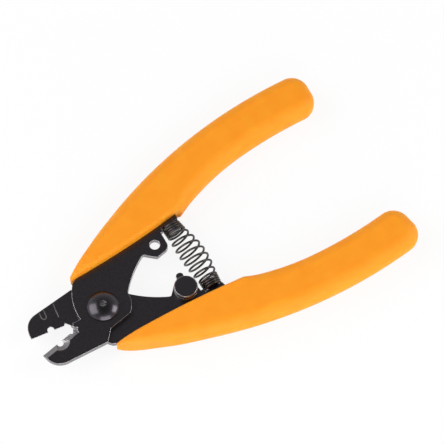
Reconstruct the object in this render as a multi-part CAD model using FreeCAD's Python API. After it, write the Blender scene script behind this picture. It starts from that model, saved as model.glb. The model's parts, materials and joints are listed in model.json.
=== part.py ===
"""Cable jacket stripper: two identical stamped halves on a pivot screw, sprung open.

Millimetres. Everything is laid out about the pivot axis (Z) with the handles towards +X.
The halves slide on each other at z = 0. The front half is the upper one: its handle is on
the +Y side and its jaw on the -Y side. The rear half is the same stamping turned over about X.
Each half is drawn shut, with the cutting edges along X, and then swung open.
"""
import FreeCAD, Part
import math
import os

V = FreeCAD.Vector
ORIGIN = V(0, 0, 0)
X_AXIS = V(1, 0, 0)
Z_AXIS = V(0, 0, 1)

# Halves
PLATE_THICK = 1.9
PLATE_GAP = 0.1             # between the sliding faces of the halves
OPEN_ANGLE = 9.0            # swing of each half from shut to open, degrees
RUN_CLEARANCE = 0.05        # radial, of a pin that something turns on
FACE_CLEARANCE = 0.05       # between flat faces that slide
SEAT_CLEARANCE = 0.02       # between pieces that are fastened together

# Jaw, as distances ahead of the pivot and below the tool's centre line
JAW_REACH = 28.1
EDGE_OVERLAP = 0.45         # cutting edge past the centre line when shut
NOSE_FLAT = 2.25            # straight front of the nose, down from the edge
NOSE_RUN = 5.0              # length of the nose curve along the jaw
NOSE_BOW = 1.4
JAW_NOSE_DEPTH = 7.9        # depth of the jaw's back where the nose curve ends
JAW_HEEL_DEPTH = 11.6
HEEL_REACH = 7.75
TOOTH_END = 15.4
THROAT_REACH = 14.75
THROAT_DEPTH = 0.4
HORN_REACH = 12.3           # corner where the throat's slope ends
HORN_RISE = 2.3
NOTCH_REACH = 20.4          # round stripping notch, half in each jaw
NOTCH_RADIUS = 1.2
BEVEL_WIDTH = 2.3
THROAT_BEVEL = 1.8
THROAT_GROUND = 0.55        # share of the throat's slope that is ground
EDGE_LAND = 0.25            # thickness left at the cutting edge
GROOVES = 4                 # fine grooves across the tooth's bevel
GROOVE_PITCH = 0.72
GROOVE_RADIUS = 0.2

# Plate round the pivot
BOSS_FRONT = V(-9.46, 1.6, 0)     # corner between the horn and the boss
BOSS_FRONT_BOW = 1.29
SHOULDER = V(-2.4, 14.05, 0)      # where the plate's front edge goes under the grip
BOSS_UNDER = 8.4                  # lower edge of the boss, below the pivot
BOSS_UNDER_FRONT = 3.75
BOSS_EAR = 5.65                   # corner of the boss behind the pivot
BOSS_EAR_BOW = 0.8
CROTCH = V(10.1, -1.9, 0)         # where the two inner edges cross
INNER_BOW = 0.68
VALLEY = V(23.4, 5.5, 0)          # dip between the inner edge and the lug
VALLEY_FLAT = 0.7

# Lug of each half, which carries the hole
LUG_BOTTOM = 1.4                  # height of its flat above the centre line when shut
LUG_FRONT = 27.2
LUG_BACK = 31.5
LUG_CORNER_BOW = 0.55
LUG_CORNER_RISE = 2.4
LUG_HOLE_X = 29.8
LUG_HOLE_Y = 5.7
LUG_HOLE_RADIUS = 1.9

# Spring and its seats, in the open position
SPRING_X = 37.6                   # at its seats
SPRING_BOW = 0.8                  # of its middle, away from the pivot
SEAT_Y = 14.7
SEAT_HALF = 3.6                   # seat to each side of the spring's axis
SLOT_WIDTH = 1.0                  # slot between the seat and the lug
SLOT_Y = 13.3
SPUR_WIDTH = 3.8
SPUR_LENGTH = 3.6
WIRE = 0.9
COIL_END_RADIUS = 3.2             # to the middle of the wire
COIL_NECK_RADIUS = 3.5            # where the closed turns end
COIL_MID_RADIUS = 4.6
CLOSED_TURNS = 4.5                # at each end
OPEN_TURNS = 7.0
CLOSED_PITCH = 1.03               # of the closed turns, in wires
CHORDS_PER_TURN = 16
WIRE_SIDES = 6

# Tang inside the grip
TANG_ROOT_X = 13.5                # where the plate's front edge meets the tang
TANG_END = 98.0
TANG_WALL = 2.8                   # grip left outside the tang's edges
TANG_END_BOW = 3.2
TANG_NECK = V(44.0, 10.9, 0)
TANG_FRONT = 51.0                 # where the tang's inner edge starts

# Grip
GRIP_THICK = 10.8
GRIP_WIDTH = 16.9
GRIP_BEND_RADIUS = 176.0          # of the grip's middle line
GRIP_BEND_X = 67.0
GRIP_TOP_Y = 21.3                 # highest point of the middle line
GRIP_END = 115.3
GRIP_CORNER = 6.7                 # corners of the end, seen from above
GRIP_ROUND = 3.0                  # the rims are rounded off in three flats: the middle one,
GRIP_ROUND_EASE = 1.2             # and the two that ease it into the top and the side
GRIP_NOSE_X = 0.3                 # where the rounded nose meets the grip's outer edge
NOSE_WIDTH = 2.52                 # from there down to the wall that stands on the plate
WALL_END_X = 45.3
WALL_DROP = 10.06                 # end of the wall below the grip's middle line
WALL_BOW = 0.75
SLIDE_NOSE_WIDTH = 1.57           # the same for the wall on the side where the halves slide
SLIDE_WALL_DROP = 8.66
SLIDE_WALL_BOW = 0.6
GRIP_FRONT = -5.0                 # front of the bar before the opening is cut
LIP_START = 78.0                  # where the inner edge bends down to the lip behind the spring
LIP_RADIUS = 98.0
LIP_REACH = 30.0                  # front of the lip before the opening is cut

# Pivot
PIVOT_RADIUS = 3.0
HEAD_RADIUS = 5.8
HEAD_RIM = 0.5
HEAD_HEIGHT = 2.6
HEAD_BANDS = 3                    # cones that make up the dome
SOCKET_FLATS = 2.5
SOCKET_DEPTH = 1.3
NUT_FLATS = 10.0
NUT_HEIGHT = 3.1
NUT_CHAMFER = 0.5
INSERT_RADIUS = 3.9
INSERT_HEIGHT = 0.8
SCREW_END = 0.1                   # screw past the nut

# Stop lever on the rear half
LEVER_RADIUS = 4.3
LEVER_THICK = 1.5
NUB_REACH = 6.7
NUB_WIDTH = 2.7
NUB_ROUND = 0.8
NUB_ANGLE = 81.0                  # direction of the nub from +X, tool open
STOP_WASHER_THICK = 0.25
STOP_WASHER_RADIUS = 3.4
RIVET_RADIUS = 1.8
RIVET_HEAD_RADIUS = 4.3
RIVET_HEAD_THICK = 1.65
RIVET_CHAMFER = 0.3
RIVET_TAIL_RADIUS = 2.5
RIVET_TAIL_THICK = 0.85
RIVET_WASHER_RADIUS = 3.2
RIVET_WASHER_THICK = 0.5

PLATE_BOTTOM = PLATE_GAP / 2
PLATE_TOP = PLATE_BOTTOM + PLATE_THICK
CUT_MARGIN = 5.0                  # how far a cutting tool stands out of what it cuts


def turned(point, degrees):
    """The point turned about the pivot axis."""
    return FreeCAD.Rotation(Z_AXIS, degrees).multVec(point)


def outline(points):
    """Closed wire through (point, bow): the edge to the next point swells by bow to its left."""
    edges = []
    for (start, bow), (end, _) in zip(points, points[1:] + points[:1]):
        if bow:
            run = end - start
            middle = (start + end) * 0.5 + V(-run.y, run.x, 0).normalize() * bow
            edges.append(Part.Arc(start, middle, end).toShape())
        else:
            edges.append(Part.LineSegment(start, end).toShape())
    return Part.Wire(edges)


def prism(wire, bottom, top):
    """The wire's face between two heights."""
    face = Part.Face(wire)
    face.translate(V(0, 0, bottom))
    return face.extrude(V(0, 0, top - bottom))


def spun(points):
    """Solid of revolution about Z from a half profile of ((radius, z), bow)."""
    wire = outline([(V(r, z, 0), bow) for (r, z), bow in points])
    wire.rotate(ORIGIN, X_AXIS, 90)
    return Part.Face(wire).revolve(ORIGIN, Z_AXIS, 360)


def ring(outer, inner, bottom, top):
    """Flat ring about Z."""
    height = top - bottom
    disc = Part.makeCylinder(outer, height, V(0, 0, bottom))
    return disc.cut(Part.makeCylinder(inner, height, V(0, 0, bottom)))


def hexagon(flats, bottom, top):
    """Hexagonal prism about Z."""
    corner = flats / math.sqrt(3)
    points = [turned(V(corner, 0, 0), 60 * i) for i in range(6)]
    return prism(outline([(p, 0) for p in points]), bottom, top)


def spread(start, end, count):
    """Evenly spaced numbers from start to end."""
    return [start + (end - start) * i / (count - 1) for i in range(count)]


def grip_edge(offset, x):
    """Point at x on the arc that runs offset outside the grip's middle line."""
    radius = GRIP_BEND_RADIUS + offset
    rise = math.sqrt(radius ** 2 - (x - GRIP_BEND_X) ** 2)
    return V(x, GRIP_TOP_Y - GRIP_BEND_RADIUS + rise, 0)


def arc_bow(offset, start, end):
    """Bow of that arc over the chord between two of its points."""
    radius = GRIP_BEND_RADIUS + offset
    return radius - math.sqrt(radius ** 2 - (start.distanceToPoint(end) / 2) ** 2)


def half_outline():
    """Outline of the stamping, shut, from the jaw's tip round by the handle."""
    seat = [turned(V(SPRING_X + dx, y, 0), -OPEN_ANGLE) for dx, y in (
        (SEAT_HALF, SEAT_Y),
        (SPUR_WIDTH / 2, SEAT_Y),
        (SPUR_WIDTH / 2, SEAT_Y - SPUR_LENGTH),
        (-SPUR_WIDTH / 2, SEAT_Y - SPUR_LENGTH),
        (-SPUR_WIDTH / 2, SEAT_Y),
        (-SEAT_HALF, SEAT_Y),
        (-SEAT_HALF, SLOT_Y),
        (-SEAT_HALF - SLOT_WIDTH, SLOT_Y),
    )]
    lug_side = turned(V(SPRING_X - SEAT_HALF - SLOT_WIDTH, SLOT_Y / 2, 0), -OPEN_ANGLE)
    lug_side = V(lug_side.x, LUG_BOTTOM + LUG_CORNER_RISE, 0)
    tang_half = GRIP_WIDTH / 2 - TANG_WALL
    tang_root = grip_edge(tang_half, TANG_ROOT_X)
    tang_back = grip_edge(tang_half, TANG_END)
    tang_front = grip_edge(-tang_half, TANG_END)
    tang_start = grip_edge(-tang_half, TANG_FRONT)
    points = [
        (V(-JAW_REACH, EDGE_OVERLAP, 0), 0),
        (V(-TOOTH_END, EDGE_OVERLAP, 0), 0),
        (V(-THROAT_REACH, -THROAT_DEPTH, 0), 0),
        (V(-HORN_REACH, HORN_RISE, 0), 0),
        (BOSS_FRONT, BOSS_FRONT_BOW),
        (SHOULDER, 0),
        (tang_root, arc_bow(tang_half, tang_root, tang_back)),
        (tang_back, TANG_END_BOW),
        (tang_front, -arc_bow(-tang_half, tang_front, tang_start)),
        (tang_start, 0),
        (TANG_NECK, 0),
    ]
    points += [(p, 0) for p in seat]
    points += [
        (lug_side, LUG_CORNER_BOW),
        (V(LUG_BACK, LUG_BOTTOM, 0), 0),
        (V(LUG_FRONT, LUG_BOTTOM, 0), 0),
        (VALLEY + V(VALLEY_FLAT, 0, 0), 0),
        (VALLEY, -INNER_BOW),
        (CROTCH, BOSS_EAR_BOW),
        (V(BOSS_EAR, -BOSS_UNDER, 0), 0),
        (V(-BOSS_UNDER_FRONT, -BOSS_UNDER, 0), 0),
        (V(-HEEL_REACH, -JAW_HEEL_DEPTH, 0), 0),
        (V(NOSE_RUN - JAW_REACH, -JAW_NOSE_DEPTH, 0), NOSE_BOW),
        (V(-JAW_REACH, EDGE_OVERLAP - NOSE_FLAT, 0), 0),
    ]
    return outline(points)


def edge_bevel(start, end, width, past):
    """Wedge that grinds the edge from start to end, which has the plate on its right."""
    run = end - start
    land = PLATE_BOTTOM + EDGE_LAND
    slope = (PLATE_TOP - land) / width
    reach = width + CUT_MARGIN
    wedge = outline([
        (V(0, land, 0), 0),
        (V(reach, land + slope * reach, 0), 0),
        (V(-CUT_MARGIN, land + slope * reach, 0), 0),
        (V(-CUT_MARGIN, land, 0), 0),
    ])
    tool = Part.Face(wedge).extrude(V(0, 0, -run.Length - 2 * past))
    tool.rotate(ORIGIN, X_AXIS, 90)
    tool.rotate(ORIGIN, Z_AXIS, -90)
    tool.translate(V(-past, 0, 0))
    tool.rotate(ORIGIN, Z_AXIS, math.degrees(math.atan2(run.y, run.x)))
    tool.translate(start)
    return tool


def make_half():
    """The stamped half, shut, with its holes, ground edges, notch and tooth grooves."""
    plate = prism(half_outline(), PLATE_BOTTOM, PLATE_TOP)
    land = PLATE_BOTTOM + EDGE_LAND
    rise = PLATE_TOP - land
    notch_at = V(-NOTCH_REACH, 0, 0)
    hole_at = V(LUG_HOLE_X, LUG_HOLE_Y, 0)
    tools = [
        Part.makeCylinder(PIVOT_RADIUS + RUN_CLEARANCE, PLATE_TOP),
        Part.makeCylinder(LUG_HOLE_RADIUS, PLATE_TOP, hole_at),
        Part.makeCylinder(NOTCH_RADIUS, PLATE_TOP, notch_at),
        Part.makeCone(NOTCH_RADIUS, NOTCH_RADIUS + BEVEL_WIDTH, rise, notch_at + V(0, 0, land)),
    ]
    tip = V(-JAW_REACH, EDGE_OVERLAP, 0)
    tooth = V(-TOOTH_END, EDGE_OVERLAP, 0)
    throat = V(-THROAT_REACH, -THROAT_DEPTH, 0)
    ground = throat + (V(-HORN_REACH, HORN_RISE, 0) - throat) * THROAT_GROUND
    tools.append(edge_bevel(tip, tooth, BEVEL_WIDTH, BEVEL_WIDTH))
    tools.append(edge_bevel(throat, ground, THROAT_BEVEL, 0))
    down = V(0, -BEVEL_WIDTH, rise)
    middle = (NOTCH_REACH - NOTCH_RADIUS + TOOTH_END) / 2
    for i in range(GROOVES):
        x = -middle + GROOVE_PITCH * (i - (GROOVES - 1) / 2)
        start = V(x, EDGE_OVERLAP, land)
        tools.append(Part.makeCylinder(GROOVE_RADIUS, down.Length, start, down))
    return plate.cut(tools).removeSplitter()


def rim_edges(bar, level):
    """Edges flat at this height above or below, but for the long straight one, cut away later."""
    return [
        e for e in bar.Edges
        if abs(abs(e.BoundBox.ZMin) - level) < SEAT_CLEARANCE
        and e.BoundBox.ZLength < SEAT_CLEARANCE
        and not (isinstance(e.Curve, Part.Line) and e.Length > GRIP_WIDTH)
    ]


def grip_bar():
    """The grip before it is opened: a bar bent to an arc, square-ended, with rounded rims."""
    side = GRIP_WIDTH / 2
    centre = grip_edge(-GRIP_BEND_RADIUS, GRIP_BEND_X)
    outward = (grip_edge(0, GRIP_END) - centre).normalize()
    front = grip_edge(side, GRIP_FRONT)
    back = [centre + outward * (GRIP_BEND_RADIUS + d) for d in (side, -side)]
    lip_start = grip_edge(-side, LIP_START)
    lip_centre = lip_start + (centre - lip_start).normalize() * LIP_RADIUS
    drop = math.sqrt(LIP_RADIUS ** 2 - (lip_centre.x - LIP_REACH) ** 2)
    lip = V(LIP_REACH, lip_centre.y + drop, 0)
    half_chord = lip_start.distanceToPoint(lip) / 2
    lip_bow = LIP_RADIUS - math.sqrt(LIP_RADIUS ** 2 - half_chord ** 2)
    bar = prism(outline([
        (front, arc_bow(side, front, back[0])),
        (back[0], 0),
        (back[1], -arc_bow(-side, back[1], lip_start)),
        (lip_start, -lip_bow),
        (lip, 0),
    ]), -GRIP_THICK / 2, GRIP_THICK / 2)
    corners = [
        e for e in bar.Edges
        if min(e.CenterOfMass.distanceToPoint(p) for p in back) < SEAT_CLEARANCE
    ]
    bar = bar.makeFillet(min(GRIP_CORNER, 0.45 * GRIP_WIDTH), corners)
    rounding = min(GRIP_ROUND, 0.3 * GRIP_THICK)
    ease = min(GRIP_ROUND_EASE, 0.4 * rounding)
    bar = bar.makeChamfer(rounding, rim_edges(bar, GRIP_THICK / 2))
    eased = rim_edges(bar, GRIP_THICK / 2) + rim_edges(bar, GRIP_THICK / 2 - rounding)
    return bar.makeChamfer(ease, eased)


def make_grip(half):
    """The grip, shut: the bar, opened over the plate and moulded on the tang."""
    outer_face = grip_opening(NOSE_WIDTH, WALL_DROP, WALL_BOW)
    sliding_face = grip_opening(SLIDE_NOSE_WIDTH, SLIDE_WALL_DROP, SLIDE_WALL_BOW)
    return grip_bar().cut([
        prism(outer_face, PLATE_BOTTOM, GRIP_THICK),
        prism(sliding_face, -GRIP_THICK, PLATE_BOTTOM),
        half,
    ])


def grip_opening(nose_width, drop, bow):
    """What is cut off the bar below the wall and in front of the rounded nose."""
    nose = grip_edge(GRIP_WIDTH / 2, GRIP_NOSE_X)
    start = nose - V(0, nose_width, 0)
    end = grip_edge(0, WALL_END_X) - V(0, drop, 0)
    left = GRIP_FRONT - CUT_MARGIN
    above = nose.y + CUT_MARGIN
    return outline([
        (nose, -nose_width / 2),
        (start, -bow),
        (end, 0),
        (V(end.x, -CUT_MARGIN, 0), 0),
        (V(left, -CUT_MARGIN, 0), 0),
        (V(left, above, 0), 0),
        (V(nose.x, above, 0), 0),
    ])


def make_spring():
    """Barrel spring between the two seats: close-wound ends, open turns swelling between them."""
    ends = CLOSED_TURNS * CLOSED_PITCH * WIRE
    tilt = V(0, -2 * SEAT_Y, -(PLATE_BOTTOM + PLATE_TOP))
    length = tilt.Length - WIRE - 2 * FACE_CLEARANCE
    turns = 2 * CLOSED_TURNS + OPEN_TURNS
    count = int(turns * CHORDS_PER_TURN)
    points = []
    for turn in spread(0, turns, count + 1):
        closed = [min(t, CLOSED_TURNS) for t in (turn, turns - turn)]
        share = (turn - CLOSED_TURNS) / OPEN_TURNS
        swell = math.sin(math.pi * min(max(share, 0), 1))
        neck = min(closed) / CLOSED_TURNS
        radius = COIL_END_RADIUS + (COIL_NECK_RADIUS - COIL_END_RADIUS) * neck
        radius += (COIL_MID_RADIUS - COIL_NECK_RADIUS) * swell
        wound = (CLOSED_TURNS + closed[0] - closed[1]) * CLOSED_PITCH * WIRE
        along = wound + min(max(share, 0), 1) * (length - 2 * ends)
        bow = SPRING_BOW * math.sin(math.pi * along / length)
        points.append(turned(V(radius, 0, along), -360 * turn) + V(bow, 0, 0))
    path = Part.makePolygon(points)
    corners = [turned(V(WIRE / 2, 0, 0), 360 * (i + 0.5) / WIRE_SIDES) for i in range(WIRE_SIDES)]
    section = outline([(c, 0) for c in corners])
    section.Placement = FreeCAD.Placement(points[0], FreeCAD.Rotation(Z_AXIS, points[1] - points[0]))
    coil = path.makePipeShell([section], True, False, 1)
    coil.translate(V(0, 0, WIRE / 2 + FACE_CLEARANCE))
    seat = V(SPRING_X, SEAT_Y, (PLATE_BOTTOM + PLATE_TOP) / 2)
    coil.Placement = FreeCAD.Placement(seat, FreeCAD.Rotation(Z_AXIS, tilt)).multiply(coil.Placement)
    return coil


def make_screw():
    """Pivot screw: low domed head over the front half, socket, plain shank into the nut."""
    under = PLATE_TOP + FACE_CLEARANCE
    end = -PLATE_TOP - NUT_HEIGHT - SCREW_END
    top = under + HEAD_HEIGHT
    dome = [
        ((HEAD_RADIUS * share, top - (HEAD_HEIGHT - HEAD_RIM) * share ** 2), 0)
        for share in spread(1, 0, HEAD_BANDS + 1)
    ]
    screw = spun([
        ((0, end), 0),
        ((PIVOT_RADIUS, end), 0),
        ((PIVOT_RADIUS, under), 0),
        ((HEAD_RADIUS, under), 0),
        *dome,
    ])
    return screw.cut(hexagon(SOCKET_FLATS, top - SOCKET_DEPTH, top))


def make_nut():
    """Locking nut: hexagon with turned-down corners and a seat for the nylon ring."""
    bottom = -PLATE_TOP - NUT_HEIGHT
    corner = NUT_FLATS / math.sqrt(3)
    blank = spun([
        ((0, bottom), 0),
        ((corner - NUT_CHAMFER, bottom), 0),
        ((corner, bottom + NUT_CHAMFER), 0),
        ((corner, -PLATE_TOP), 0),
        ((0, -PLATE_TOP), 0),
    ])
    nut = blank.common(hexagon(NUT_FLATS, bottom, -PLATE_TOP))
    bore = Part.makeCylinder(PIVOT_RADIUS + SEAT_CLEARANCE, NUT_HEIGHT, V(0, 0, bottom))
    seat = Part.makeCylinder(INSERT_RADIUS, INSERT_HEIGHT, V(0, 0, bottom))
    return nut.cut([bore, seat])


def make_insert():
    """Nylon ring in the nut."""
    bottom = -PLATE_TOP - NUT_HEIGHT
    outer = INSERT_RADIUS - SEAT_CLEARANCE
    return ring(outer, PIVOT_RADIUS + SEAT_CLEARANCE, bottom, bottom + INSERT_HEIGHT - SEAT_CLEARANCE)


LEVER_BOTTOM = FACE_CLEARANCE - PLATE_BOTTOM
LEVER_TOP = LEVER_BOTTOM + LEVER_THICK
WASHER_TOP = LEVER_TOP + FACE_CLEARANCE + STOP_WASHER_THICK


def make_lever():
    """Round lever with one nub, about its own axis, with the nub along +X."""
    nub = outline([
        (V(0, -NUB_WIDTH / 2, 0), 0),
        (V(NUB_REACH - NUB_ROUND, -NUB_WIDTH / 2, 0), -NUB_ROUND),
        (V(NUB_REACH - NUB_ROUND, NUB_WIDTH / 2, 0), 0),
        (V(0, NUB_WIDTH / 2, 0), 0),
    ])
    disc = Part.makeCylinder(LEVER_RADIUS, LEVER_THICK, V(0, 0, LEVER_BOTTOM))
    lever = disc.fuse(prism(nub, LEVER_BOTTOM, LEVER_TOP)).removeSplitter()
    lever = lever.cut(Part.makeCylinder(RIVET_RADIUS + RUN_CLEARANCE, LEVER_TOP, V(0, 0, LEVER_BOTTOM)))
    lever.rotate(ORIGIN, Z_AXIS, NUB_ANGLE)
    return lever


def make_rivet():
    """Flat-headed rivet through the lever and the rear half, with its tail formed below."""
    head_top = WASHER_TOP + RIVET_HEAD_THICK
    tail_top = -PLATE_TOP - RIVET_WASHER_THICK
    tail_end = tail_top - RIVET_TAIL_THICK
    return spun([
        ((0, tail_end), 0),
        ((RIVET_TAIL_RADIUS, tail_end), 0),
        ((RIVET_TAIL_RADIUS, tail_top), 0),
        ((RIVET_RADIUS, tail_top), 0),
        ((RIVET_RADIUS, WASHER_TOP), 0),
        ((RIVET_HEAD_RADIUS, WASHER_TOP), 0),
        ((RIVET_HEAD_RADIUS, head_top - RIVET_CHAMFER), 0),
        ((RIVET_HEAD_RADIUS - RIVET_CHAMFER, head_top), 0),
        ((0, head_top), 0),
    ])


def opened(shape):
    """A front piece swung open."""
    shape = shape.copy()
    shape.rotate(ORIGIN, Z_AXIS, OPEN_ANGLE)
    return shape


def turned_over(shape):
    """The rear twin of an opened front piece."""
    shape = shape.copy()
    shape.rotate(ORIGIN, X_AXIS, 180)
    return shape


def build():
    """All nodes about the pivot axis, open."""
    half = make_half()
    grip = opened(make_grip(half))
    half = opened(half)
    hole = turned(V(LUG_HOLE_X, LUG_HOLE_Y, 0), OPEN_ANGLE)
    on_lug = V(hole.x, -hole.y, 0)
    washer_bore = RIVET_RADIUS + RUN_CLEARANCE
    washer_bottom = WASHER_TOP - STOP_WASHER_THICK
    stop = {
        "stop_lever": make_lever(),
        "stop_washer": ring(STOP_WASHER_RADIUS, washer_bore, washer_bottom, WASHER_TOP),
        "stop_rivet": make_rivet(),
        "rivet_washer": ring(
            RIVET_WASHER_RADIUS, washer_bore, -PLATE_TOP - RIVET_WASHER_THICK, -PLATE_TOP
        ),
    }
    for piece in stop.values():
        piece.translate(on_lug)
    return {
        "front_half": half,
        "rear_half": turned_over(half),
        "front_grip": grip,
        "rear_grip": turned_over(grip),
        "pivot_screw": make_screw(),
        "pivot_nut": make_nut(),
        "nut_insert": make_insert(),
        "return_spring": make_spring(),
        **stop,
    }


def main():
    """Put the origin under the middle of the tool and write each node."""
    nodes = build()
    box = Part.makeCompound(list(nodes.values())).optimalBoundingBox(False, False)
    shift = V(-(box.XMin + box.XMax) / 2, -(box.YMin + box.YMax) / 2, -box.ZMin)
    os.makedirs("parts", exist_ok=True)
    for name, shape in nodes.items():
        shape.translate(shift)
        shape.exportStep(f"parts/{name}.step")
        print(name, shape.ShapeType, len(shape.Solids), shape.isValid(), round(shape.Volume, 1))
    print("pivot at", [round(v, 4) for v in shift])
    print("size", round(box.XLength, 2), round(box.YLength, 2), round(box.ZLength, 2))


main()
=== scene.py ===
"""Looks of the cable jacket stripper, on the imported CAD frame, in metres."""

import json
import math
from collections import namedtuple

import bpy
from mathutils import Matrix, Vector


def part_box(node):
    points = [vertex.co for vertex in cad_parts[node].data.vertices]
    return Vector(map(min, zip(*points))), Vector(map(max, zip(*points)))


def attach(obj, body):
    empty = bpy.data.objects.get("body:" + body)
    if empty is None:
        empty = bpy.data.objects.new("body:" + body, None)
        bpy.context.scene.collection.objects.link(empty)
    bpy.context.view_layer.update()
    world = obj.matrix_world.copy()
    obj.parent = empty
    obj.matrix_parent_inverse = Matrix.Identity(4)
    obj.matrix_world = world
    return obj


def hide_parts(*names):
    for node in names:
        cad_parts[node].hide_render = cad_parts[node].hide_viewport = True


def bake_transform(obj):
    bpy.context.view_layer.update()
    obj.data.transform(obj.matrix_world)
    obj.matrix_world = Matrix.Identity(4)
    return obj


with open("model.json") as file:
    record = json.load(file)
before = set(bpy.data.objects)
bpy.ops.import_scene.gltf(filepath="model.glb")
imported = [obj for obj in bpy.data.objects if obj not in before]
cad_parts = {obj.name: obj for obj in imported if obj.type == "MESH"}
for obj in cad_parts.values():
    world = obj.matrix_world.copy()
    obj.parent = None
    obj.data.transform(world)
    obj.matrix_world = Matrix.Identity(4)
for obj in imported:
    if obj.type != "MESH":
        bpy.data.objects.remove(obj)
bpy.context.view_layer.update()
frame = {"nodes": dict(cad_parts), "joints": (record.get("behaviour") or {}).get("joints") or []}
nodes = frame["nodes"]
scene = bpy.context.scene
MM = 0.001

# Places, from the frame
JOINTS = {joint["name"]: joint for joint in frame["joints"]}
PIVOT = Vector(JOINTS["handle_pivot"]["pos_m"])
SLIDE_Z = (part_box("front_half")[0].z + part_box("rear_half")[1].z) / 2
PIVOT_MIDDLE = Vector((PIVOT.x, PIVOT.y, SLIDE_Z))   # between the sliding faces
OPEN_ANGLE = 9.0                   # of each half from shut, in degrees

# Camera, found from the photograph
PHOTO_PX = 444
FOCAL_PX = 2500
VIEW_ELEVATION = 63.5
VIEW_AZIMUTH = -33.5
PIVOT_PX = (103.2, 306.1)          # the plate's top at the pivot, from the picture's top left
PLATE_TOP = 1.95 * MM              # above the sliding faces
VIEW_DISTANCE = 910 * MM
SENSOR = 36
CLIP_END = 10

# Light: a tent that is darker overhead, and three soft boxes
SKY_TOP = 0.14
SKY_EDGE = 0.95
FLOOR_REACH = 3.0
FLOOR_COLOUR = (0.95, 0.95, 0.95)
WHITE_SHARE = 0.88                 # of plain white in the floor that the camera sees
LAMPS = (                          # name, place, size and power
    ("left", (-0.62, 0.39, 0.60), 0.8, 5.1),
    ("right", (0.67, -0.43, 0.51), 0.5, 3.2),
    ("front", (-0.34, -0.84, 0.28), 0.9, 6.1),
)

# Steel: dark and light oxide, bare metal on walls and bevels that is partly real and partly a
# painted reflection, bright metal on rubbed edges
OXIDE, OXIDE_LIGHT = (0.080, 0.073, 0.083), (0.104, 0.095, 0.107)
# bare metal on faces that stand: partly real ground metal, partly a painted reflection of the
# bright surroundings
PLATE_BARE_AND_SHEEN = (0.29, 0.275, 0.285)
FASTENER_BARE_AND_SHEEN = (0.30, 0.285, 0.29)
RUBBED = (0.75, 0.72, 0.75)
GRAIN_RANGE = (0.35, 0.75)         # of the noise, from the dark colour to the light one
BARE_AND_SHEEN_LEAN = (0.97, 0.90)           # upright part of the normal where bare metal with painted sheen starts and is full
PATCH_SCALE, PATCH_DETAIL = 420, 6.0
PATCH_RANGE = (0.25, 0.60)         # of the noise, from the least bare metal and painted sheen to all of it
PATCH_LEAST = 0.45
RUBBED_TURN = (0.98, 0.84)         # cosine of the turn at an edge where rubbing starts and is full
RUBBED_MOST = 0.8
EDGE_SAMPLES = 6
MIX_FROM, MIX_TO, MIX_RESULT = 6, 7, 2   # colour sockets of a Mix node
# Bump of the grain, as strength and depth
GRAIN_BUMP = (0.10, 0.04 * MM)
DRAWN_BUMP = (0.06, 0.03 * MM)

# Vinyl and nylon
VINYL_DEEP, VINYL_BRIGHT = (0.95, 0.318, 0.010), (0.99, 0.348, 0.015)
VINYL_MOTTLE = 160
VINYL_GRAIN, VINYL_GRAIN_DETAIL = 2600, 2.0
NYLON_PALE, NYLON_PALER = (0.70, 0.69, 0.64), (0.78, 0.77, 0.73)
NYLON_MOTTLE = 700
MOTTLE_RANGE = (0.3, 0.7)          # of the noise, from the first colour to the second

# Grips, in millimetres from the pivot, shut, as in the solids but with round rims
GRIP_HALF = 5.4                    # half the thickness
GRIP_SIDE = 8.42                   # half the width
GRIP_BEND = 176.0                  # radius of the middle line
GRIP_TOP = (67.0, 21.3)            # where that line is furthest out
GRIP_CENTRE = Vector((GRIP_TOP[0], GRIP_TOP[1] - GRIP_BEND))
GRIP_OUTER, GRIP_INNER = GRIP_BEND + GRIP_SIDE, GRIP_BEND - GRIP_SIDE
GRIP_END_X = 115.27
GRIP_CORNER = 6.7
GRIP_NOSE_X = -1.2
LIP_X = 78.0                       # where the lip's arc leaves the inner edge
LIP_RADIUS = 98.0
WALL_FEET = (0.05, 0.04)           # heights between which one wall changes to the other
RIM = (4.7, 4.7)                   # roundness of the rims, across and down
UNDER_RIM = (6.5, 5.3)             # of the rear grip's underside
LIP_RIM = (2.6, 4.6)
RIM_SHARE = 0.36                   # of the grip's width, where it is narrow
LIP_RUN = 6.0                      # over which the rim changes behind the lip
NOSE_RUN = 11.0                    # over which the thickness tapers to the nose
NOSE_BLUNT = 1.0                   # by which that taper starts ahead of the nose
# The outer edge is brought in near the nose
NOSE_TRIM_END, NOSE_TRIM_RUN = 22.0, 14.0
# Wall over the plates: two ends, bow, front of the lip and roundness of the rim
Wall = namedtuple("Wall", "start end bow lip_x rim")
# Grip: on the outer and the sliding side a wall, a rim and the share of the thickness left at the
# nose, and then how far the outer edge is brought in
Grip = namedtuple("Grip", "walls rims noses trim")
FRONT_GRIP = Grip(
    walls=(
        Wall(Vector((GRIP_NOSE_X, 14.97)), Vector((44.0, 10.0)), 0.76, 46.8, (1.4, 2.0)),
        Wall(Vector((GRIP_NOSE_X, 15.15)), Vector((43.6, 11.4)), 0.64, 46.2, (1.0, 1.4)),
    ),
    rims=(RIM, RIM),
    noses=(0.35, 0.25),
    trim=0.30,
)
REAR_GRIP = Grip(
    walls=(
        Wall(Vector((GRIP_NOSE_X, 15.40)), Vector((44.0, 10.0)), 0.76, 46.8, (2.0, 3.0)),
        Wall(Vector((GRIP_NOSE_X, 15.55)), Vector((43.6, 11.4)), 0.64, 50.0, (1.0, 1.4)),
    ),
    rims=(UNDER_RIM, RIM),
    noses=(0.0, 0.10),
    trim=0.50,
)
OUTER_POINTS, CORNER_POINTS, INNER_POINTS = 90, 16, 40
LIP_POINTS, WALL_POINTS, NOSE_POINTS = 60, 60, 14
STEP_SHARES = (0.12, 0.25, 0.38, 0.5, 0.62, 0.75, 0.88)   # of the step from the lip to the wall
TURN_EASE = 30                     # passes that even out the rim's direction at the step
EASE_BEHIND, EASE_AHEAD = 25, 12   # points that they take in behind the step and ahead of it
ROUND_STEPS = 9
GRIP_SHARP = 35                    # degrees

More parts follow.
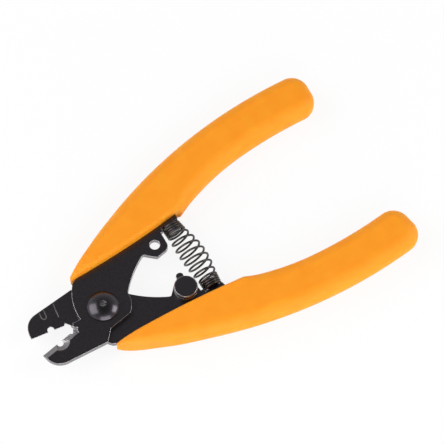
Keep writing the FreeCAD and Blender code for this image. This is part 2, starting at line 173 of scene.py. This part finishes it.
# Screw, as in the solids
HEAD_BOTTOM = 2.0 * MM             # above the sliding faces
HEAD_HEIGHT = 2.6 * MM
HEAD_RADIUS = 5.8 * MM
HEAD_RIM = 0.5 * MM
HEAD_FOOT_EASE = 0.1 * MM
HEAD_RIM_EASE = 0.12 * MM
DOME_POWER = 2.8                   # flatter in the middle than a round dome
DOME_BANDS = 14
SHANK_RADIUS = 3.0 * MM
SHANK_CHAMFER = 0.4 * MM
SCREW_END = -5.15 * MM
SOCKET_FLATS = 2.5 * MM
SOCKET_MOUTH = SOCKET_FLATS * 0.62   # radius where the dome ends
SOCKET_DEPTH = 1.3 * MM
LATHE_SIDES = 72                   # a multiple of the socket's six corners
SCREW_SHARP = 40                   # degrees

# Gauge marks on the rear jaw, in millimetres along and across the shut jaw from the pivot
MARK_WIDTH = 0.42 * MM
MARK_HEIGHT = 0.02 * MM
MARK_SECTION = ((-1, 0), (0, MARK_HEIGHT), (1, 0))   # side and height of a ridge's edges
MARKS = (
    ((-21.6, 7.9), (-21.6, 5.5), (-21.0, 4.8), (-20.4, 4.8), (-19.8, 5.5), (-19.8, 8.3)),
    ((-15.7, 9.2), (-15.9, 3.5)),
)

# Spring, as in the solids
SPRING_AHEAD = 37.6 * MM           # at its seats
SPRING_BOW = 0.8 * MM
SEAT_Y = 14.7 * MM
SEAT_Z = 1.0 * MM
WIRE = 0.9 * MM                    # in the solid, which sets the pitch
WIRE_DRAWN = 0.8 * MM              # as thin as the photo shows it
COIL_END = 3.2 * MM
COIL_NECK = 3.5 * MM
COIL_MID = 4.6 * MM
CLOSED_TURNS = 4.5
OPEN_TURNS = 7.0
CLOSED_PITCH = 1.03                # in wires
STEPS_PER_TURN = 36
WIRE_SIDES = 12


# Nodes

def principled(name, colour, roughness, metallic=0.0):
    """New material with a principled shader."""
    material = bpy.data.materials.new(name)
    material.use_nodes = True
    shader = material.node_tree.nodes["Principled BSDF"]
    shader.inputs["Base Color"].default_value = (*colour, 1)
    shader.inputs["Roughness"].default_value = roughness
    shader.inputs["Metallic"].default_value = metallic
    return material, shader


def noise(material, scale, detail=4.0):
    """Noise texture in the piece's own coordinates."""
    tree = material.node_tree
    place = tree.nodes.new("ShaderNodeTexCoord")
    texture = tree.nodes.new("ShaderNodeTexNoise")
    texture.inputs["Scale"].default_value = scale
    texture.inputs["Detail"].default_value = detail
    tree.links.new(place.outputs["Object"], texture.inputs["Vector"])
    return texture


def ramp(material, source, positions, colours):
    """Colour that changes with a texture's value, from one position to another."""
    tree = material.node_tree
    node = tree.nodes.new("ShaderNodeValToRGB")
    for element, position, colour in zip(node.color_ramp.elements, positions, colours):
        element.position = position
        element.color = (*colour, 1)
    tree.links.new(source.outputs["Fac"], node.inputs["Fac"])
    return node.outputs["Color"]


def bump(material, shader, source, strength, depth):
    """Bump from a texture's value."""
    tree = material.node_tree
    node = tree.nodes.new("ShaderNodeBump")
    node.inputs["Strength"].default_value = strength
    node.inputs["Distance"].default_value = depth
    tree.links.new(source.outputs["Fac"], node.inputs["Height"])
    tree.links.new(node.outputs["Normal"], shader.inputs["Normal"])
    return node


def map_range(tree, source, start, end, least=0.0, most=1.0):
    """Value of a socket, mapped from one range to another."""
    node = tree.nodes.new("ShaderNodeMapRange")
    node.inputs["From Min"].default_value = start
    node.inputs["From Max"].default_value = end
    node.inputs["To Min"].default_value = least
    node.inputs["To Max"].default_value = most
    tree.links.new(source, node.inputs["Value"])
    return node.outputs["Result"]


def computed(tree, operation, *sources):
    """Value of a Math node over sockets and numbers."""
    node = tree.nodes.new("ShaderNodeMath")
    node.operation = operation
    for source, socket in zip(sources, node.inputs):
        if isinstance(source, float):
            socket.default_value = source
        else:
            tree.links.new(source, socket)
    return node.outputs["Value"]


# Materials

def bare_and_sheen_share(material):
    """Share of bare metal on the faces that lean or stand, in patches: partly real ground metal,
    partly a painted reflection of the bright surroundings.
    """
    tree = material.node_tree
    place = tree.nodes.new("ShaderNodeTexCoord")
    lean = tree.nodes.new("ShaderNodeSeparateXYZ")
    tree.links.new(place.outputs["Normal"], lean.inputs["Vector"])
    # faces that stand are painted lighter, partly as real bare metal and partly as painted sheen
    bare_sheen_by_lean = map_range(tree, computed(tree, "ABSOLUTE", lean.outputs["Z"]), *BARE_AND_SHEEN_LEAN)
    patches = noise(material, PATCH_SCALE, PATCH_DETAIL).outputs["Fac"]
    patchy = map_range(tree, patches, *PATCH_RANGE, least=PATCH_LEAST)
    return computed(tree, "MULTIPLY", bare_sheen_by_lean, patchy)


def rubbed_share(tree, rounded):
    """Share of bright metal on an edge, from how far rounding it turns the surface."""
    surface = tree.nodes.new("ShaderNodeNewGeometry")
    turn = tree.nodes.new("ShaderNodeVectorMath")
    turn.operation = "DOT_PRODUCT"
    tree.links.new(rounded.outputs["Normal"], turn.inputs[0])
    tree.links.new(surface.outputs["Normal"], turn.inputs[1])
    return map_range(tree, turn.outputs["Value"], *RUBBED_TURN, most=RUBBED_MOST)


def steel(name, bare, roughness, grain, edge):
    """Blackened steel with a fine grain, bare on walls and bevels (partly real wear, partly painted
    sheen), and rubbed along the edges.
    """
    material, shader = principled(name, OXIDE, roughness, metallic=1.0)
    tree = material.node_tree
    texture = noise(material, grain)
    rounded = tree.nodes.new("ShaderNodeBevel")
    rounded.samples = EDGE_SAMPLES
    rounded.inputs["Radius"].default_value = edge
    colour = ramp(material, texture, GRAIN_RANGE, (OXIDE, OXIDE_LIGHT))
    # the first mix paints standing faces lighter, partly real bare metal and partly painted sheen;
    # the second is edge wear
    for share, metal in ((bare_and_sheen_share(material), bare), (rubbed_share(tree, rounded), RUBBED)):
        mix = tree.nodes.new("ShaderNodeMix")
        mix.data_type = "RGBA"
        tree.links.new(share, mix.inputs["Factor"])
        tree.links.new(colour, mix.inputs[MIX_FROM])
        mix.inputs[MIX_TO].default_value = (*metal, 1)
        colour = mix.outputs[MIX_RESULT]
    tree.links.new(colour, shader.inputs["Base Color"])
    grained = bump(material, shader, texture, *GRAIN_BUMP)
    tree.links.new(rounded.outputs["Normal"], grained.inputs["Normal"])
    return material


def drawn_steel(name, dark, light, roughness, grain):
    """Steel with a fine grain and no wear at its edges, for round and small pieces; in the socket
    its two colours lie far apart and paint glints.
    """
    material, shader = principled(name, dark, roughness, metallic=1.0)
    texture = noise(material, grain)
    colour = ramp(material, texture, GRAIN_RANGE, (dark, light))
    material.node_tree.links.new(colour, shader.inputs["Base Color"])
    bump(material, shader, texture, *DRAWN_BUMP)
    return material


def vinyl():
    """Satin orange vinyl with a fine moulded grain."""
    material, shader = principled("orange_vinyl", VINYL_BRIGHT, roughness=0.55)
    shader.inputs["Specular IOR Level"].default_value = 0.25
    shader.inputs["Subsurface Weight"].default_value = 0.5
    shader.inputs["Subsurface Radius"].default_value = (1.0, 0.4, 0.1)
    shader.inputs["Subsurface Scale"].default_value = 2.0 * MM
    mottle = noise(material, VINYL_MOTTLE)
    colour = ramp(material, mottle, MOTTLE_RANGE, (VINYL_DEEP, VINYL_BRIGHT))
    material.node_tree.links.new(colour, shader.inputs["Base Color"])
    bump(material, shader, noise(material, VINYL_GRAIN, VINYL_GRAIN_DETAIL), *GRAIN_BUMP)
    return material


def nylon():
    """Pale nylon."""
    material, shader = principled("nylon", NYLON_PALE, roughness=0.4)
    mottle = noise(material, NYLON_MOTTLE)
    colour = ramp(material, mottle, MOTTLE_RANGE, (NYLON_PALE, NYLON_PALER))
    material.node_tree.links.new(colour, shader.inputs["Base Color"])
    return material


def dress(material, *names):
    """One material on CAD nodes."""
    for name in names:
        mesh = nodes[name].data
        mesh.materials.clear()
        mesh.materials.append(material)


# Shapes

def add_mesh(name, points, faces, material):
    """New smooth mesh object in the row frame."""
    mesh = bpy.data.meshes.new(name)
    mesh.from_pydata([tuple(p) for p in points], [], faces)
    mesh.materials.append(material)
    for polygon in mesh.polygons:
        polygon.use_smooth = True
    piece = bpy.data.objects.new(name, mesh)
    scene.collection.objects.link(piece)
    return piece


def ring_faces(rings, count, reverse=False):
    """Quads between rings of points that follow each other."""
    faces = []
    for first in range(0, (rings - 1) * count, count):
        for k in range(count):
            a, b = first + k, first + (k + 1) % count
            if reverse:
                faces.append((a, a + count, b + count, b))
            else:
                faces.append((a, b, b + count, a + count))
    return faces


def run_at(line, i):
    """Direction of a line at one of its points."""
    return (line[min(i + 1, len(line) - 1)] - line[max(i - 1, 0)]).normalized()


def bearing(centre, point):
    """Direction from one point to another."""
    return math.atan2(point.y - centre.y, point.x - centre.x)


def arc(centre, radius, start, end, count):
    """Points on an arc between two angles."""
    angles = [start + (end - start) * i / (count - 1) for i in range(count)]
    return [centre + Vector((math.cos(a), math.sin(a))) * radius for a in angles]


def arc_between(centre, radius, first, last, count):
    """Points on an arc from one of its points to another."""
    return arc(centre, radius, bearing(centre, first), bearing(centre, last), count)


def at_x(centre, radius, x):
    """Upper point of a circle at x."""
    return Vector((x, centre.y + math.sqrt(radius ** 2 - (x - centre.x) ** 2)))


def eased(share):
    """Smooth step from 0 to 1."""
    share = min(max(share, 0), 1)
    return share * share * (3 - 2 * share)


def between(first, last, share):
    """Pair of numbers eased from one pair to another."""
    share = eased(share)
    return tuple(a + (b - a) * share for a, b in zip(first, last))


# Grips

def trimmed(point, trim):
    """Point of the grip's outer edge, brought in near the nose."""
    return point - Vector((0, trim * eased((NOSE_TRIM_END - point.x) / NOSE_TRIM_RUN)))


def narrowed(rim, x, foot, trim):
    """Rim at x, less round where the grip is narrow between the wall's foot and its outer edge."""
    width = trimmed(at_x(GRIP_CENTRE, GRIP_OUTER, x), trim).y - foot
    return tuple(min(r, RIM_SHARE * width) for r in rim)


def wall_circle(wall):
    """Centre and radius of the arc that a wall follows."""
    chord = wall.end - wall.start
    radius = ((chord.length / 2) ** 2 + wall.bow ** 2) / (2 * wall.bow)
    aside = Vector((-chord.y, chord.x)).normalized()
    return (wall.start + wall.end) / 2 + aside * (radius - wall.bow), radius


def grip_outline(wall, rim, trim):
    """Outline from the nose round by the end, the rim at each point, and the points at the step."""
    wall_centre, wall_radius = wall_circle(wall)
    tip = at_x(GRIP_CENTRE, GRIP_OUTER, GRIP_NOSE_X)
    nose = trimmed(tip, trim)
    end = bearing(GRIP_CENTRE, at_x(GRIP_CENTRE, GRIP_BEND, GRIP_END_X))
    corners, turns = [], []
    for reach in (GRIP_OUTER - GRIP_CORNER, GRIP_INNER + GRIP_CORNER):
        turn = end + math.asin(GRIP_CORNER / reach)
        turns.append(turn)
        corners.append(GRIP_CENTRE + Vector((math.cos(turn), math.sin(turn))) * reach)
    lip_start = at_x(GRIP_CENTRE, GRIP_INNER, LIP_X)
    lip_centre = lip_start + (GRIP_CENTRE - lip_start).normalized() * LIP_RADIUS
    lip = at_x(lip_centre, LIP_RADIUS, wall.lip_x)

    def outer_rim(x):
        """Rim of the outer edge, less round where the grip narrows to its nose."""
        if x > wall.end.x:
            return rim
        foot = wall_centre.y - math.sqrt(wall_radius ** 2 - (x - wall_centre.x) ** 2)
        return narrowed(rim, x, foot, trim)

    # outer edge, end and inner edge
    points = arc(GRIP_CENTRE, GRIP_OUTER, bearing(GRIP_CENTRE, tip), turns[0], OUTER_POINTS)
    points = [trimmed(p, trim) for p in points]
    rims = [outer_rim(p.x) for p in points]
    square = end - math.pi / 2
    points += arc(corners[0], GRIP_CORNER, turns[0], square, CORNER_POINTS)[1:]
    points += arc(corners[1], GRIP_CORNER, square, turns[1] - math.pi, CORNER_POINTS)
    lip_turn = bearing(GRIP_CENTRE, lip_start)
    points += arc(GRIP_CENTRE, GRIP_INNER, turns[1], lip_turn, INNER_POINTS)[1:]
    rims += [rim] * (len(points) - len(rims))

    # lip, the step from it, and the wall
    behind = arc_between(lip_centre, LIP_RADIUS, lip_start, lip, LIP_POINTS)[1:]
    rims += [between(LIP_RIM, rim, (p.x - lip.x) / LIP_RUN) for p in behind]
    face = arc_between(wall_centre, wall_radius, wall.end, wall.start, WALL_POINTS)
    rise = face[0] - lip
    step = [lip + Vector((rise.x * share, rise.y * eased(share))) for share in STEP_SHARES]
    rims += [between(LIP_RIM, wall.rim, share) for share in STEP_SHARES]
    rims += [narrowed(wall.rim, p.x, p.y, trim) for p in face]

    # round of the nose
    middle = (wall.start + nose) / 2
    turn = bearing(middle, wall.start)
    radius = (wall.start - nose).length / 2
    front = arc(middle, radius, turn, turn - math.pi, NOSE_POINTS)[1:-1]
    rims += [between(rims[-1], rims[0], (i + 1) / (len(front) + 1)) for i in range(len(front))]
    stepped = len(points) + len(behind)
    points += behind + step + face + front
    return points, rims, range(stepped - EASE_BEHIND, stepped + len(step) + EASE_AHEAD)


def grip_half(x, share):
    """Half the grip's thickness, which tapers to this share at the nose."""
    left = 1 - min(max((x - GRIP_NOSE_X + NOSE_BLUNT) / NOSE_RUN, 0), 1)
    return GRIP_HALF * (share + (1 - share) * math.sqrt(1 - left ** 2))


def inward_at(points, stepped):
    """Directions into the grip from its outline, evened out at the step."""
    inward = []
    for before, after in zip(points[-1:] + points[:-1], points[1:] + points[:1]):
        run = (after - before).normalized()
        inward.append(Vector((run.y, -run.x)))
    for _ in range(TURN_EASE):
        evened = [(inward[k - 1] + inward[k] * 2 + inward[k + 1]).normalized() for k in stepped]
        inward[stepped.start:stepped.stop] = evened
    return inward


def grip_rings(shape):
    """Rings of a grip's skin from the outer face to the sliding one, shut, in millimetres."""
    rings = []
    sides = zip((1, -1), shape.walls, shape.rims, shape.noses, WALL_FEET)
    for side, wall, rim, nose, foot in sides:
        points, edge, stepped = grip_outline(wall, rim, shape.trim)
        inward = inward_at(points, stepped)
        skin = []
        for i in range(ROUND_STEPS + 1):
            a = math.pi / 2 * i / ROUND_STEPS
            ring = []
            for p, n, (over, down) in zip(points, inward, edge):
                at = p + n * over * (1 - math.sin(a))
                height = grip_half(at.x, nose) - down * (1 - math.cos(a))
                ring.append(Vector((*at, side * height)))
            skin.append(ring)
        skin.append([Vector((*p, foot)) for p in points])
        rings += skin[::side]
    return rings


def across(ring):
    """Triangles over a ring, which run from its outer side to its inner side."""
    last = max(range(len(ring)), key=lambda k: ring[k].x)
    i, j = 0, len(ring) - 1
    faces = []
    while i < last or j > last + 1:
        if j == last + 1 or (i < last and ring[i + 1].x <= ring[j - 1].x):
            faces.append((i, j, i + 1))
            i += 1
        else:
            faces.append((i, j, j - 1))
            j -= 1
    return faces


def make_grips(material):
    """The two grips: the front one swung open, and the rear one turned over."""
    swing = Matrix.Rotation(math.radians(OPEN_ANGLE), 3, "Z")
    over = Matrix.Rotation(math.pi, 3, "X")
    for body, turn, shape in (("front", swing, FRONT_GRIP), ("rear", over @ swing, REAR_GRIP)):
        rings = grip_rings(shape)
        count = len(rings[0])
        faces = ring_faces(len(rings), count)
        for ring, first, order in ((rings[0], 0, 1), (rings[-1], (len(rings) - 1) * count, -1)):
            faces += [tuple(first + k for k in face)[::order] for face in across(ring)]
        points = [PIVOT_MIDDLE + turn @ p * MM for ring in rings for p in ring]
        grip = add_mesh(f"{body}_grip_skin", points, faces, material)
        grip.data.set_sharp_from_angle(angle=math.radians(GRIP_SHARP))
        grip.modifiers.new("shade", "WEIGHTED_NORMAL").keep_sharp = True
        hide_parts(f"{body}_grip")
        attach(grip, body)


# Screw, marks and spring

def screw_profile():
    """Radius and height of the screw's outside, from its end up to the dome's inner edge."""
    profile = [
        (SHANK_RADIUS - SHANK_CHAMFER, SCREW_END),
        (SHANK_RADIUS, SCREW_END + SHANK_CHAMFER),
        (SHANK_RADIUS, HEAD_BOTTOM),
        (HEAD_RADIUS - HEAD_FOOT_EASE, HEAD_BOTTOM),
        (HEAD_RADIUS, HEAD_BOTTOM + HEAD_FOOT_EASE),
        (HEAD_RADIUS, HEAD_BOTTOM + HEAD_RIM - HEAD_RIM_EASE),
        (HEAD_RADIUS - HEAD_RIM_EASE, HEAD_BOTTOM + HEAD_RIM),
    ]
    top = HEAD_BOTTOM + HEAD_HEIGHT
    for i in range(1, DOME_BANDS + 1):
        r = (HEAD_RADIUS - HEAD_RIM_EASE) * (1 - i / DOME_BANDS) + SOCKET_MOUTH * i / DOME_BANDS
        profile.append((r, top - (HEAD_HEIGHT - HEAD_RIM) * (r / HEAD_RADIUS) ** DOME_POWER))
    return profile


def make_screw(material, bare):
    """Pivot screw with a smooth dome and a hexagon socket, which has a metal of its own, speckled
    with painted glints.
    """
    profile = screw_profile()
    angles = [2 * math.pi * k / LATHE_SIDES for k in range(LATHE_SIDES)]
    points = [Vector((r * math.cos(a), r * math.sin(a), z)) for r, z in profile for a in angles]
    edge_height = profile[-1][1]
    sector = math.pi / 3
    for z in (edge_height, edge_height - SOCKET_DEPTH):
        for a in angles:
            r = SOCKET_FLATS / 2 / math.cos(a % sector - sector / 2)
            points.append(Vector((r * math.cos(a), r * math.sin(a), z)))
    rings = len(profile) + 2
    faces = ring_faces(rings, LATHE_SIDES)
    faces.append(tuple(range(LATHE_SIDES))[::-1])
    faces.append(tuple(range((rings - 1) * LATHE_SIDES, rings * LATHE_SIDES)))
    screw = add_mesh("pivot_screw_dome", [PIVOT_MIDDLE + p for p in points], faces, material)
    # second slot: metal speckled with painted glints, for the socket's walls and floor
    screw.data.materials.append(bare)
    socket_wall = range((rings - 2) * LATHE_SIDES, (rings - 1) * LATHE_SIDES)
    socket_floor = len(faces) - 1
    for index in (*socket_wall, socket_floor):
        screw.data.polygons[index].material_index = 1
    screw.data.set_sharp_from_angle(angle=math.radians(SCREW_SHARP))
    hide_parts("pivot_screw")
    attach(screw, "rear")


def make_marks(material):
    """Gauge lines on the rear jaw, as low ridges."""
    turn = Matrix.Rotation(math.radians(-OPEN_ANGLE), 3, "Z")
    base = Vector((PIVOT.x, PIVOT.y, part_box("rear_half")[1].z))
    points, faces = [], []
    for mark in MARKS:
        line = [Vector((x, y, 0)) * MM for x, y in mark]
        first = len(points)
        for i, at in enumerate(line):
            run = run_at(line, i)
            side = Vector((-run.y, run.x, 0)) * MARK_WIDTH / 2
            for offset, height in MARK_SECTION:
                points.append(base + turn @ (at + side * offset) + Vector((0, 0, height)))
        last = len(points) - len(MARK_SECTION)
        faces += [(first, first + 1, first + 2), (last + 2, last + 1, last)]
        ridge = ring_faces(len(line), len(MARK_SECTION), reverse=True)
        faces += [tuple(first + k for k in face) for face in ridge]
    marks = add_mesh("gauge_marks", points, faces, material)
    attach(marks, "rear")


def coil_line():
    """Centre line of the coil from the front seat to the rear one, and its axis."""
    front = PIVOT_MIDDLE + Vector((SPRING_AHEAD, SEAT_Y, SEAT_Z))
    axis = Vector((0, -2 * SEAT_Y, -2 * SEAT_Z))
    turn_frame = Vector((0, 0, 1)).rotation_difference(axis).to_matrix()
    ends = CLOSED_TURNS * CLOSED_PITCH * WIRE
    length = axis.length - WIRE
    turns = 2 * CLOSED_TURNS + OPEN_TURNS
    count = int(turns * STEPS_PER_TURN)
    line = []
    for i in range(count + 1):
        turn = turns * i / count
        closed = [min(t, CLOSED_TURNS) for t in (turn, turns - turn)]
        share = min(max((turn - CLOSED_TURNS) / OPEN_TURNS, 0), 1)
        radius = COIL_END + (COIL_NECK - COIL_END) * min(closed) / CLOSED_TURNS
        radius += (COIL_MID - COIL_NECK) * math.sin(math.pi * share)
        along = (CLOSED_TURNS + closed[0] - closed[1]) * CLOSED_PITCH * WIRE
        along += share * (length - 2 * ends) + WIRE / 2
        angle = -2 * math.pi * turn
        aside = SPRING_BOW * math.sin(math.pi * along / axis.length)
        at = Vector((radius * math.cos(angle) + aside, radius * math.sin(angle), along))
        line.append(front + turn_frame @ at)
    return line, axis.normalized()


def make_spring(material):
    """Round-wire barrel spring between the two halves, built at one fixed length, though the real
    one shortens as they close.
    """
    line, axis = coil_line()
    points = []
    for i, centre in enumerate(line):
        run = run_at(line, i)
        side = run.cross(axis).normalized()
        up = side.cross(run)
        for k in range(WIRE_SIDES):
            a = 2 * math.pi * k / WIRE_SIDES
            points.append(centre + (side * math.cos(a) + up * math.sin(a)) * WIRE_DRAWN / 2)
    faces = ring_faces(len(line), WIRE_SIDES, reverse=True)
    faces.append(tuple(range(WIRE_SIDES)))
    faces.append(tuple(range(len(points) - WIRE_SIDES, len(points)))[::-1])
    spring = add_mesh("coil_spring", points, faces, material)
    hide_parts("return_spring")
    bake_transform(spring)


# Camera, floor and light

def make_camera():
    """Camera at the photograph's angle, with the pivot at its pixel."""
    elevation, azimuth = math.radians(VIEW_ELEVATION), math.radians(VIEW_AZIMUTH)
    back = Vector((
        math.sin(azimuth) * math.cos(elevation),
        -math.cos(azimuth) * math.cos(elevation),
        math.sin(elevation),
    ))
    right = Vector((math.cos(azimuth), math.sin(azimuth), 0))
    up = back.cross(right)
    ray = -back * FOCAL_PX
    ray += right * (PIVOT_PX[0] - PHOTO_PX / 2) - up * (PIVOT_PX[1] - PHOTO_PX / 2)
    pivot = Vector((PIVOT.x, PIVOT.y, SLIDE_Z + PLATE_TOP))
    # the camera stands so that its middle ray meets the sliding plane at VIEW_DISTANCE
    height = VIEW_DISTANCE * math.sin(elevation)
    reach = (height - PLATE_TOP) / -ray.z
    camera = bpy.data.cameras.new("camera")
    camera.sensor_width = SENSOR
    camera.lens = SENSOR * FOCAL_PX / PHOTO_PX
    camera.clip_end = CLIP_END
    holder = bpy.data.objects.new("camera", camera)
    turn = Matrix((right, up, back)).transposed().to_4x4()
    holder.matrix_world = Matrix.Translation(pivot - ray * reach) @ turn
    scene.collection.objects.link(holder)
    scene.camera = holder


def white_for_camera(tree, shade, output):
    """Mixes a shader with plain white where the camera or a reflection looks at it."""
    path = tree.nodes.new("ShaderNodeLightPath")
    seen = path.outputs["Is Camera Ray"]
    for kind in ("Is Glossy Ray", "Is Transmission Ray"):
        seen = computed(tree, "MAXIMUM", seen, path.outputs[kind])
    white = tree.nodes.new("ShaderNodeEmission")
    mix = tree.nodes.new("ShaderNodeMixShader")
    tree.links.new(computed(tree, "MULTIPLY", seen, WHITE_SHARE), mix.inputs["Fac"])
    tree.links.new(shade, mix.inputs[1])
    tree.links.new(white.outputs["Emission"], mix.inputs[2])
    tree.links.new(mix.outputs["Shader"], output)


def make_floor():
    """Plain floor, nearly white to the camera, with a faint shadow."""
    mesh = bpy.data.meshes.new("floor")
    signs = ((-1, -1), (1, -1), (1, 1), (-1, 1))
    mesh.from_pydata([(x * FLOOR_REACH, y * FLOOR_REACH, 0) for x, y in signs], [], [(0, 1, 2, 3)])
    floor = bpy.data.objects.new("floor", mesh)
    scene.collection.objects.link(floor)
    material, shader = principled("white_floor", FLOOR_COLOUR, roughness=0.9)
    shader.inputs["Specular IOR Level"].default_value = 0
    mesh.materials.append(material)
    tree = material.node_tree
    white_for_camera(tree, shader.outputs["BSDF"], tree.nodes["Material Output"].inputs["Surface"])


def make_sky():
    """White light tent, which is darker overhead."""
    world = bpy.data.worlds.new("studio")
    world.use_nodes = True
    tree = world.node_tree
    background = tree.nodes["Background"]
    background.inputs["Color"].default_value = (1, 1, 1, 1)
    place = tree.nodes.new("ShaderNodeTexCoord")
    height = tree.nodes.new("ShaderNodeSeparateXYZ")
    tree.links.new(place.outputs["Generated"], height.inputs["Vector"])
    level = map_range(tree, height.outputs["Z"], 0, 1, SKY_EDGE, SKY_TOP)
    tree.links.new(level, background.inputs["Strength"])
    scene.world = world


def make_lamps():
    """Soft boxes that face the object."""
    for name, place, size, power in LAMPS:
        lamp = bpy.data.lights.new(name, "AREA")
        lamp.size = size
        lamp.energy = power
        holder = bpy.data.objects.new(name, lamp)
        holder.location = place
        holder.rotation_euler = (-Vector(place)).to_track_quat("-Z", "Y").to_euler()
        scene.collection.objects.link(holder)


# The scene
# plates and fasteners: the bare metal on their walls is partly a painted reflection
plate_steel = steel("black_oxide_plate", PLATE_BARE_AND_SHEEN, roughness=0.28, grain=1400, edge=0.28 * MM)
fastener_steel = steel(
    "black_oxide_fastener", FASTENER_BARE_AND_SHEEN, roughness=0.30, grain=1700, edge=0.20 * MM
)
screw_steel = drawn_steel(
    "polished_oxide", (0.068, 0.062, 0.071), (0.086, 0.079, 0.090), roughness=0.22, grain=3000
)
# socket: near-black metal speckled near-white, which paints glints in it
socket_glint_steel = drawn_steel(
    "socket_painted_glints", (0.015, 0.014, 0.015), (0.85, 0.82, 0.84), roughness=0.38, grain=2300
)
spring_steel = drawn_steel(
    "spring_wire", (0.055, 0.051, 0.050), (0.098, 0.091, 0.088), roughness=0.34, grain=1800
)
mark_steel = drawn_steel(
    "scribed_line", (0.16, 0.15, 0.15), (0.26, 0.245, 0.25), roughness=0.45, grain=2200
)
orange = vinyl()

dress(plate_steel, "front_half", "rear_half")
dress(fastener_steel, "pivot_nut", "stop_lever", "stop_rivet", "rivet_washer")
dress(screw_steel, "pivot_screw")
dress(spring_steel, "stop_washer", "return_spring")
dress(orange, "front_grip", "rear_grip")
dress(nylon(), "nut_insert")
make_grips(orange)
make_spring(spring_steel)
make_screw(screw_steel, socket_glint_steel)
make_marks(mark_steel)

make_camera()
make_floor()
make_sky()
make_lamps()
scene.view_settings.view_transform = "Standard"
